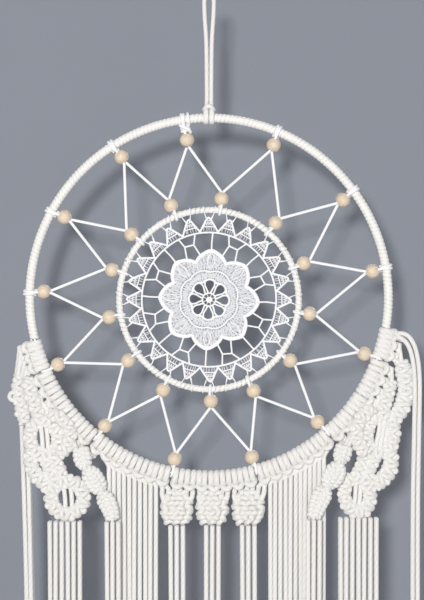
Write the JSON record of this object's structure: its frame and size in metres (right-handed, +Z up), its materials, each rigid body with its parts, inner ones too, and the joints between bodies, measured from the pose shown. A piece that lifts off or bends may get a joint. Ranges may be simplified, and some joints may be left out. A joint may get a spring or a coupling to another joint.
{
  "type": "dream catcher",
  "caption": "Macrame dream catcher: cord-wrapped hoop with a beaded star web round a lace doily, knotted ivory cotton fringe below and a hanging loop on top.",
  "frame": {"origin": "top inside of the hanging loop, where the nail carries it", "axes": "+Z up, -Y towards the viewer, +Y towards the wall, +X to the viewer's right"},
  "size_m": [0.3476, 0.0282, 0.6929],
  "materials": {
    "macrame_cotton": "twisted ivory cotton cord, matt",
    "white_cord": "twisted white cord, matt",
    "lace_thread": "white polyester embroidery thread with a slight sheen",
    "bead_wood": "unvarnished pale wood, sanded",
    "hoop_steel": "plain wire"
  },
  "bodies": {
    "hanger": {"hanging_loop": "white_cord"},
    "hoop": {"outer_hoop": "hoop_steel", "outer_hoop_wrap": "white_cord", "ring_knots": "macrame_cotton", "inner_hoop": "hoop_steel", "inner_hoop_wrap": "white_cord", "star_cord": "white_cord", "lace_doily": "lace_thread", "doily_lacing": "lace_thread"},
    "left_side": {"left_outer_sennit": "macrame_cotton", "left_chain_sennits": "macrame_cotton", "left_upper_eye": "macrame_cotton", "left_lower_eye": "macrame_cotton", "left_side_fringe": "macrame_cotton"},
    "left_leaf": {"left_leaf_knots": "macrame_cotton", "left_leaf_fringe": "macrame_cotton"},
    "left_straight": {"left_straight_fringe": "macrame_cotton"},
    "berry_left_tassel": {"berry_left": "macrame_cotton", "berry_left_fringe": "macrame_cotton"},
    "berry_centre_tassel": {"berry_centre": "macrame_cotton", "berry_centre_fringe": "macrame_cotton"},
    "berry_right_tassel": {"berry_right": "macrame_cotton", "berry_right_fringe": "macrame_cotton"},
    "right_straight": {"right_straight_fringe": "macrame_cotton"},
    "right_leaf": {"right_leaf_knots": "macrame_cotton", "right_leaf_fringe": "macrame_cotton"},
    "right_side": {"right_outer_sennit": "macrame_cotton", "right_chain_sennits": "macrame_cotton", "right_upper_eye": "macrame_cotton", "right_lower_eye": "macrame_cotton", "right_side_fringe": "macrame_cotton"},
    "outer_bead_01": {"outer_bead_01": "bead_wood"},
    "inner_bead_01": {"inner_bead_01": "bead_wood"},
    "outer_bead_02": {"outer_bead_02": "bead_wood"},
    "inner_bead_02": {"inner_bead_02": "bead_wood"},
    "outer_bead_03": {"outer_bead_03": "bead_wood"},
    "inner_bead_03": {"inner_bead_03": "bead_wood"},
    "outer_bead_04": {"outer_bead_04": "bead_wood"},
    "inner_bead_04": {"inner_bead_04": "bead_wood"},
    "outer_bead_05": {"outer_bead_05": "bead_wood"},
    "inner_bead_05": {"inner_bead_05": "bead_wood"},
    "outer_bead_06": {"outer_bead_06": "bead_wood"},
    "inner_bead_06": {"inner_bead_06": "bead_wood"},
    "outer_bead_07": {"outer_bead_07": "bead_wood"},
    "inner_bead_07": {"inner_bead_07": "bead_wood"},
    "outer_bead_08": {"outer_bead_08": "bead_wood"},
    "inner_bead_08": {"inner_bead_08": "bead_wood"},
    "outer_bead_09": {"outer_bead_09": "bead_wood"},
    "inner_bead_09": {"inner_bead_09": "bead_wood"},
    "outer_bead_10": {"outer_bead_10": "bead_wood"},
    "inner_bead_10": {"inner_bead_10": "bead_wood"},
    "outer_bead_11": {"outer_bead_11": "bead_wood"},
    "inner_bead_11": {"inner_bead_11": "bead_wood"},
    "outer_bead_12": {"outer_bead_12": "bead_wood"},
    "inner_bead_12": {"inner_bead_12": "bead_wood"},
    "outer_bead_13": {"outer_bead_13": "bead_wood"},
    "inner_bead_13": {"inner_bead_13": "bead_wood"}
  },
  "joints": [
    {"name": "hoop_swing", "type": "hinge", "parent": "hanger", "child": "hoop", "pos_m": [0, 0, -0.1], "axis": [1, 0, 0], "range_deg": [-60, 5]},
    {"name": "left_side_swing", "type": "hinge", "parent": "hoop", "child": "left_side", "pos_m": [0, -0.001, -0.294], "axis": [1, 0, 0], "range_deg": [-30, 5]},
    {"name": "left_leaf_swing", "type": "hinge", "parent": "hoop", "child": "left_leaf", "pos_m": [0, -0.005, -0.3655], "axis": [1, 0, 0], "range_deg": [-30, 5]},
    {"name": "left_straight_swing", "type": "hinge", "parent": "hoop", "child": "left_straight", "pos_m": [0, -0.001, -0.399], "axis": [1, 0, 0], "range_deg": [-30, 5]},
    {"name": "berry_left_tassel_swing", "type": "hinge", "parent": "hoop", "child": "berry_left_tassel", "pos_m": [0, -0.001, -0.4133], "axis": [1, 0, 0], "range_deg": [-30, 5]},
    {"name": "berry_centre_tassel_swing", "type": "hinge", "parent": "hoop", "child": "berry_centre_tassel", "pos_m": [0, -0.001, -0.4133], "axis": [1, 0, 0], "range_deg": [-30, 5]},
    {"name": "berry_right_tassel_swing", "type": "hinge", "parent": "hoop", "child": "berry_right_tassel", "pos_m": [0, -0.001, -0.4133], "axis": [1, 0, 0], "range_deg": [-30, 5]},
    {"name": "right_straight_swing", "type": "hinge", "parent": "hoop", "child": "right_straight", "pos_m": [0, -0.001, -0.3965], "axis": [1, 0, 0], "range_deg": [-30, 5]},
    {"name": "right_leaf_swing", "type": "hinge", "parent": "hoop", "child": "right_leaf", "pos_m": [0, -0.006, -0.3545], "axis": [1, 0, 0], "range_deg": [-30, 5]},
    {"name": "right_side_swing", "type": "hinge", "parent": "hoop", "child": "right_side", "pos_m": [0, -0.001, -0.2735], "axis": [1, 0, 0], "range_deg": [-30, 5]},
    {"name": "outer_bead_01_slide", "type": "slide", "parent": "hoop", "child": "outer_bead_01", "axis": [-0.1392, 0, 0.9903], "range_m": [0, 0.0007]},
    {"name": "inner_bead_01_slide", "type": "slide", "parent": "hoop", "child": "inner_bead_01", "axis": [-0.3746, 0, 0.9272], "range_m": [0, 0.0014]},
    {"name": "outer_bead_02_slide", "type": "slide", "parent": "hoop", "child": "outer_bead_02", "axis": [0.3907, 0, 0.9205], "range_m": [0, 0.0005]},
    {"name": "inner_bead_02_slide", "type": "slide", "parent": "hoop", "child": "inner_bead_02", "axis": [0.1219, 0, 0.9925], "range_m": [0, 0.0014]},
    {"name": "outer_bead_03_slide", "type": "slide", "parent": "hoop", "child": "outer_bead_03", "axis": [0.809, 0, 0.5878], "range_m": [0, 0.0005]},
    {"name": "inner_bead_03_slide", "type": "slide", "parent": "hoop", "child": "inner_bead_03", "axis": [0.6561, 0, 0.7547], "range_m": [0, 0.0014]},
    {"name": "outer_bead_04_slide", "type": "slide", "parent": "hoop", "child": "outer_bead_04", "axis": [0.9877, 0, 0.1564], "range_m": [0, 0.0005]},
    {"name": "inner_bead_04_slide", "type": "slide", "parent": "hoop", "child": "inner_bead_04", "axis": [0.9336, 0, 0.3584], "range_m": [0, 0.0014]},
    {"name": "outer_bead_05_slide", "type": "slide", "parent": "hoop", "child": "outer_bead_05", "axis": [0.9397, 0, -0.342], "range_m": [0, 0.0005]},
    {"name": "inner_bead_05_slide", "type": "slide", "parent": "hoop", "child": "inner_bead_05", "axis": [0.9903, 0, -0.1392], "range_m": [0, 0.0014]},
    {"name": "outer_bead_06_slide", "type": "slide", "parent": "hoop", "child": "outer_bead_06", "axis": [0.6561, 0, -0.7547], "range_m": [0, 0.0005]},
    {"name": "inner_bead_06_slide", "type": "slide", "parent": "hoop", "child": "inner_bead_06", "axis": [0.7986, 0, -0.6018], "range_m": [0, 0.0014]},
    {"name": "outer_bead_07_slide", "type": "slide", "parent": "hoop", "child": "outer_bead_07", "axis": [0.2588, 0, -0.9659], "range_m": [0, 0.0005]},
    {"name": "inner_bead_07_slide", "type": "slide", "parent": "hoop", "child": "inner_bead_07", "axis": [0.4384, 0, -0.8988], "range_m": [0, 0.0014]},
    {"name": "outer_bead_08_slide", "type": "slide", "parent": "hoop", "child": "outer_bead_08", "axis": [-0.2079, 0, -0.9781], "range_m": [0, 0.0005]},
    {"name": "inner_bead_08_slide", "type": "slide", "parent": "hoop", "child": "inner_bead_08", "axis": [0.0175, 0, -0.9998], "range_m": [0, 0.0014]},
    {"name": "outer_bead_09_slide", "type": "slide", "parent": "hoop", "child": "outer_bead_09", "axis": [-0.6293, 0, -0.7771], "range_m": [0, 0.0005]},
    {"name": "inner_bead_09_slide", "type": "slide", "parent": "hoop", "child": "inner_bead_09", "axis": [-0.454, 0, -0.891], "range_m": [0, 0.0014]},
    {"name": "outer_bead_10_slide", "type": "slide", "parent": "hoop", "child": "outer_bead_10", "axis": [-0.9135, 0, -0.4067], "range_m": [0, 0.0005]},
    {"name": "inner_bead_10_slide", "type": "slide", "parent": "hoop", "child": "inner_bead_10", "axis": [-0.7986, 0, -0.6018], "range_m": [0, 0.0014]},
    {"name": "outer_bead_11_slide", "type": "slide", "parent": "hoop", "child": "outer_bead_11", "axis": [-0.9994, 0, 0.0349], "range_m": [0, 0.0005]},
    {"name": "inner_bead_11_slide", "type": "slide", "parent": "hoop", "child": "inner_bead_11", "axis": [-0.9848, 0, -0.1736], "range_m": [0, 0.0014]},
    {"name": "outer_bead_12_slide", "type": "slide", "parent": "hoop", "child": "outer_bead_12", "axis": [-0.8746, 0, 0.4848], "range_m": [0, 0.0005]},
    {"name": "inner_bead_12_slide", "type": "slide", "parent": "hoop", "child": "inner_bead_12", "axis": [-0.9563, 0, 0.2924], "range_m": [0, 0.0014]},
    {"name": "outer_bead_13_slide", "type": "slide", "parent": "hoop", "child": "outer_bead_13", "axis": [-0.5299, 0, 0.848], "range_m": [0, 0.0005]},
    {"name": "inner_bead_13_slide", "type": "slide", "parent": "hoop", "child": "inner_bead_13", "axis": [-0.766, 0, 0.6428], "range_m": [0, 0.0014]}
  ]
}
